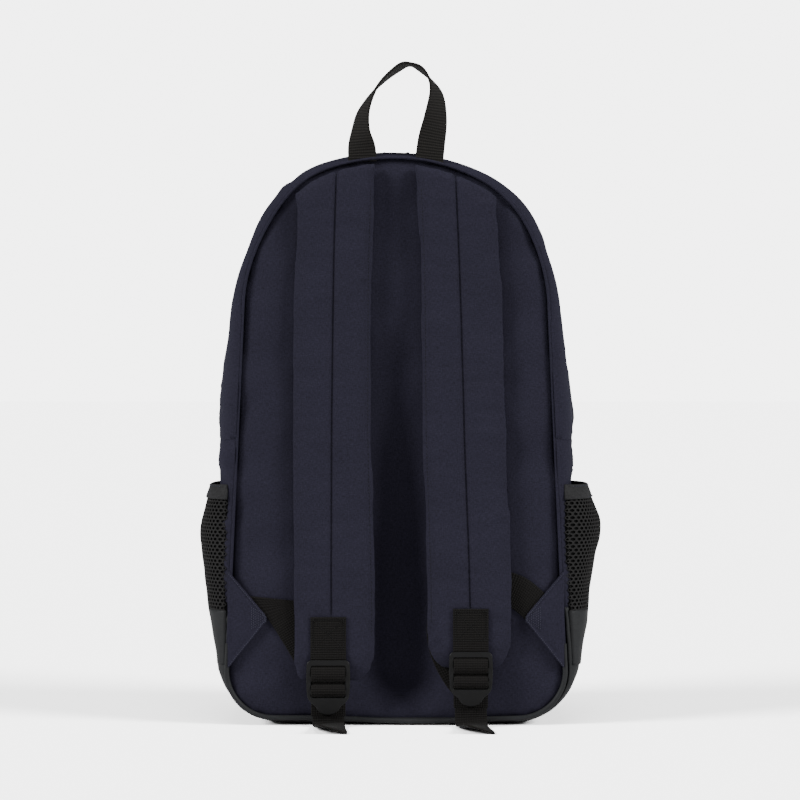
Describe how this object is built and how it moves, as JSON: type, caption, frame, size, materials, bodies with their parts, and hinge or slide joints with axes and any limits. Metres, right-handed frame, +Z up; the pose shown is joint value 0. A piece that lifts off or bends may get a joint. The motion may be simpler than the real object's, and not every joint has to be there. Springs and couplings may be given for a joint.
{
  "type": "racket backpack",
  "caption": "Soft racket backpack with padded shoulder straps, hinged front flap, front pouch, mesh side pockets and a grab handle.",
  "frame": {"origin": "centre of the flat underside of the base", "axes": "+Z up, -Y towards the harness side, +X to the right as seen from the harness side"},
  "size_m": [0.3352, 0.2672, 0.5631],
  "materials": {
    "navy_cloth": "soft matt twill",
    "coated_cloth": "coated, low sheen",
    "binding_tape": "woven tape",
    "mesh_cloth": "knitted mesh",
    "lining_cloth": "plain weave",
    "foam": "closed-cell foam",
    "board": "sheet",
    "zip_tape": "woven tape",
    "zip_coil": "nylon coil",
    "slider_metal": "black coated zinc",
    "handle_webbing": "ribbed webbing",
    "strap_webbing": "ribbed webbing",
    "lock_plastic": "moulded acetal",
    "strap_cloth": "soft matt twill"
  },
  "bodies": {
    "bag": {"base_wrap": "coated_cloth", "side_panel_left": "navy_cloth", "side_panel_right": "navy_cloth", "front_panel_lower": "navy_cloth", "rear_gusset": "navy_cloth", "back_panel_cover": "navy_cloth", "back_panel_foam": "foam", "back_panel_lining": "lining_cloth", "base_board": "board", "racket_divider": "lining_cloth", "divider_binding": "binding_tape", "rear_piping": "binding_tape", "front_piping": "binding_tape", "main_zip_tape_rear": "zip_tape", "main_zip_coil_rear": "zip_coil", "front_pouch": "navy_cloth", "pouch_zip_tape": "zip_tape", "pouch_zip_coil": "zip_coil", "pocket_base_left": "coated_cloth", "mesh_pocket_left": "mesh_cloth", "pocket_binding_left": "binding_tape", "pocket_base_right": "coated_cloth", "mesh_pocket_right": "mesh_cloth", "pocket_binding_right": "binding_tape", "triangle_tab_left": "navy_cloth", "triangle_tab_right": "navy_cloth", "adjuster_webbing_left": "strap_webbing", "adjuster_webbing_right": "strap_webbing"},
    "front_flap": {"front_flap_panel": "navy_cloth", "front_gusset": "navy_cloth", "main_zip_tape_front": "zip_tape", "main_zip_coil_front": "zip_coil", "flap_piping": "binding_tape"},
    "main_slider_left": {"main_slider_left": "slider_metal"},
    "main_slider_right": {"main_slider_right": "slider_metal"},
    "main_pull_left": {"main_pull_left": "slider_metal"},
    "main_pull_right": {"main_pull_right": "slider_metal"},
    "pouch_slider": {"pouch_slider": "slider_metal"},
    "pouch_pull": {"pouch_pull": "slider_metal"},
    "top_handle": {"top_handle": "handle_webbing"},
    "strap_left": {"strap_backing_left": "strap_cloth", "strap_foam_left": "foam", "strap_face_left": "strap_cloth", "strap_webbing_left": "strap_webbing"},
    "lock_left": {"ladder_lock_left": "lock_plastic", "lock_webbing_left": "strap_webbing"},
    "tail_left": {"webbing_tail_left": "strap_webbing"},
    "strap_right": {"strap_backing_right": "strap_cloth", "strap_foam_right": "foam", "strap_face_right": "strap_cloth", "strap_webbing_right": "strap_webbing"},
    "lock_right": {"ladder_lock_right": "lock_plastic", "lock_webbing_right": "strap_webbing"},
    "tail_right": {"webbing_tail_right": "strap_webbing"}
  },
  "joints": [
    {"name": "front_flap_open", "type": "hinge", "parent": "bag", "child": "front_flap", "pos_m": [0, 0.075, 0.242], "axis": [-1, 0, 0], "range_deg": [0, 65]},
    {"name": "main_slider_left_travel", "type": "hinge", "parent": "bag", "child": "main_slider_left", "pos_m": [0, 0, 0.344], "axis": [0, 1, 0], "range_deg": [-78, 0]},
    {"name": "main_slider_right_travel", "type": "hinge", "parent": "bag", "child": "main_slider_right", "pos_m": [0, 0, 0.344], "axis": [0, 1, 0], "range_deg": [0, 78]},
    {"name": "main_pull_left_swing", "type": "hinge", "parent": "main_slider_left", "child": "main_pull_left", "pos_m": [-0.01014, 0, 0.48905], "axis": [0, 1, 0], "range_deg": [0, 120]},
    {"name": "main_pull_right_swing", "type": "hinge", "parent": "main_slider_right", "child": "main_pull_right", "pos_m": [0.01014, 0, 0.48905], "axis": [0, 1, 0], "range_deg": [-120, 0]},
    {"name": "pouch_slider_travel", "type": "slide", "parent": "bag", "child": "pouch_slider", "axis": [1, 0, 0], "range_m": [0, 0.116]},
    {"name": "pouch_pull_swing", "type": "hinge", "parent": "pouch_slider", "child": "pouch_pull", "pos_m": [-0.058, 0.1153, 0.178], "axis": [1, 0, 0], "range_deg": [0, 100]},
    {"name": "top_handle_fold", "type": "hinge", "parent": "bag", "child": "top_handle", "pos_m": [0, -0.075, 0.4811], "axis": [1, 0, 0], "range_deg": [-55, 60]},
    {"name": "strap_left_swing", "type": "hinge", "parent": "bag", "child": "strap_left", "pos_m": [0, -0.0765, 0.478], "axis": [-1, 0, 0], "range_deg": [0, 25]},
    {"name": "lock_left_tilt", "type": "hinge", "parent": "strap_left", "child": "lock_left", "pos_m": [-0.057, -0.0914, 0.052], "axis": [-1, 0, 0], "range_deg": [0, 30]},
    {"name": "tail_left_swing", "type": "hinge", "parent": "lock_left", "child": "tail_left", "pos_m": [-0.057, -0.08875, 0.0086], "axis": [-1, 0, 0], "range_deg": [-30, 45]},
    {"name": "strap_right_swing", "type": "hinge", "parent": "bag", "child": "strap_right", "pos_m": [0, -0.0765, 0.478], "axis": [-1, 0, 0], "range_deg": [0, 25]},
    {"name": "lock_right_tilt", "type": "hinge", "parent": "strap_right", "child": "lock_right", "pos_m": [0.063, -0.0914, 0.059], "axis": [-1, 0, 0], "range_deg": [0, 30]},
    {"name": "tail_right_swing", "type": "hinge", "parent": "lock_right", "child": "tail_right", "pos_m": [0.063, -0.08875, 0.0156], "axis": [-1, 0, 0], "range_deg": [-30, 45]}
  ]
}
